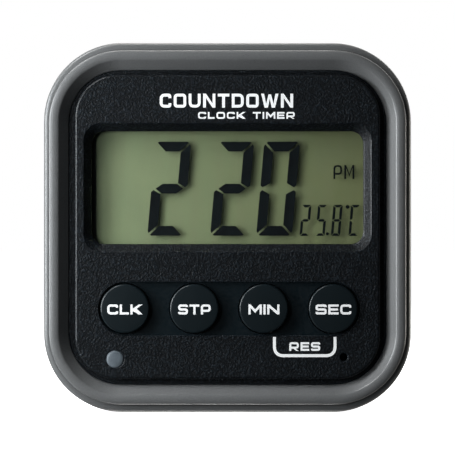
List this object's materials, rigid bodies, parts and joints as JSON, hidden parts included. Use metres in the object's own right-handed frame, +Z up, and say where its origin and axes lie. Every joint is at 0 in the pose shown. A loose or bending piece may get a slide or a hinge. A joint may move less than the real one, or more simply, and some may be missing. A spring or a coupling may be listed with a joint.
{
  "type": "digital countdown timer",
  "caption": "Square desk timer with a rounded grey case, a black face, a reflective liquid crystal display, round keys in a row, an alarm lamp and a fold-out stand.",
  "frame": {"origin": "centre of the bottom edge of the case, at the floor it stands on", "axes": "+X to the right seen from the front, +Y towards the back, +Z up; the display faces -Y"},
  "size_m": [0.07, 0.023, 0.0704],
  "materials": {
    "case": "dark grey satin moulding",
    "face": "black, fine grain",
    "key": "black, fine grain",
    "lens": "clear window",
    "lcd_glass": "clear display glass",
    "reflector": "grey green reflector",
    "holder": "white moulding",
    "elastomer": "contact rubber",
    "silicone": "grey silicone",
    "board": "green solder mask",
    "epoxy": "black epoxy",
    "frosted": "frosted lamp window",
    "led": "clear epoxy lamp",
    "steel": "zinc plated",
    "nickel": "nickel plated",
    "piezo": "brass disc",
    "cell": "printed sleeve",
    "red_wire": "red insulation",
    "black_wire": "black insulation"
  },
  "bodies": {
    "case": {"rear_housing": "case", "front_bezel": "case", "face_panel": "face", "window_lens": "lens", "lcd_front_glass": "lcd_glass", "lcd_rear_glass": "lcd_glass", "lcd_reflector": "reflector", "lcd_frame": "holder", "zebra_strip": "elastomer", "key_dome_sheet": "silicone", "main_board": "board", "chip_blob": "epoxy", "crystal_can": "nickel", "capacitor": "epoxy", "led_diffuser": "frosted", "alarm_led": "led", "temperature_sensor": "epoxy", "piezo_disc": "piezo", "piezo_lead_red": "red_wire", "piezo_lead_black": "black_wire", "mode_switch_body": "steel", "battery_upper": "cell", "battery_lower": "cell", "bridge_contact": "nickel", "positive_contact": "nickel", "negative_contact": "nickel", "spring_upper": "nickel", "spring_lower": "nickel", "stand_hinge_pin": "steel", "magnet_left": "nickel", "magnet_right": "nickel", "case_screw_lower_left": "steel", "case_screw_lower_right": "steel", "case_screw_upper_left": "steel", "case_screw_upper_right": "steel", "board_screw_lower_left": "steel", "board_screw_lower_right": "steel", "board_screw_upper_left": "steel", "board_screw_upper_right": "steel"},
    "clock_button_body": {"clock_button": "key"},
    "stop_button_body": {"stop_button": "key"},
    "minute_button_body": {"minute_button": "key"},
    "second_button_body": {"second_button": "key"},
    "stand": {"stand_leg": "case"},
    "door": {"battery_door": "case"},
    "slider": {"mode_slider": "key"}
  },
  "joints": [
    {"name": "clock_press", "type": "slide", "parent": "case", "child": "clock_button_body", "axis": [0, 1, 0], "range_m": [0, 0.0008], "stiffness_N_per_m": 1200, "deforming": ["key_dome_sheet"]},
    {"name": "stop_press", "type": "slide", "parent": "case", "child": "stop_button_body", "axis": [0, 1, 0], "range_m": [0, 0.0008], "stiffness_N_per_m": 1200, "deforming": ["key_dome_sheet"]},
    {"name": "minute_press", "type": "slide", "parent": "case", "child": "minute_button_body", "axis": [0, 1, 0], "range_m": [0, 0.0008], "stiffness_N_per_m": 1200, "deforming": ["key_dome_sheet"]},
    {"name": "second_press", "type": "slide", "parent": "case", "child": "second_button_body", "axis": [0, 1, 0], "range_m": [0, 0.0008], "stiffness_N_per_m": 1200, "deforming": ["key_dome_sheet"]},
    {"name": "stand_hinge", "type": "hinge", "parent": "case", "child": "stand", "pos_m": [0, 0.0095, 0.0302], "axis": [1, 0, 0], "range_deg": [0, 60]},
    {"name": "door_hinge", "type": "hinge", "parent": "case", "child": "door", "pos_m": [0, 0.01075, 0.05665], "axis": [1, 0, 0], "range_deg": [0, 60]},
    {"name": "mode_slide", "type": "slide", "parent": "case", "child": "slider", "axis": [1, 0, 0], "range_m": [0, 0.004]}
  ]
}
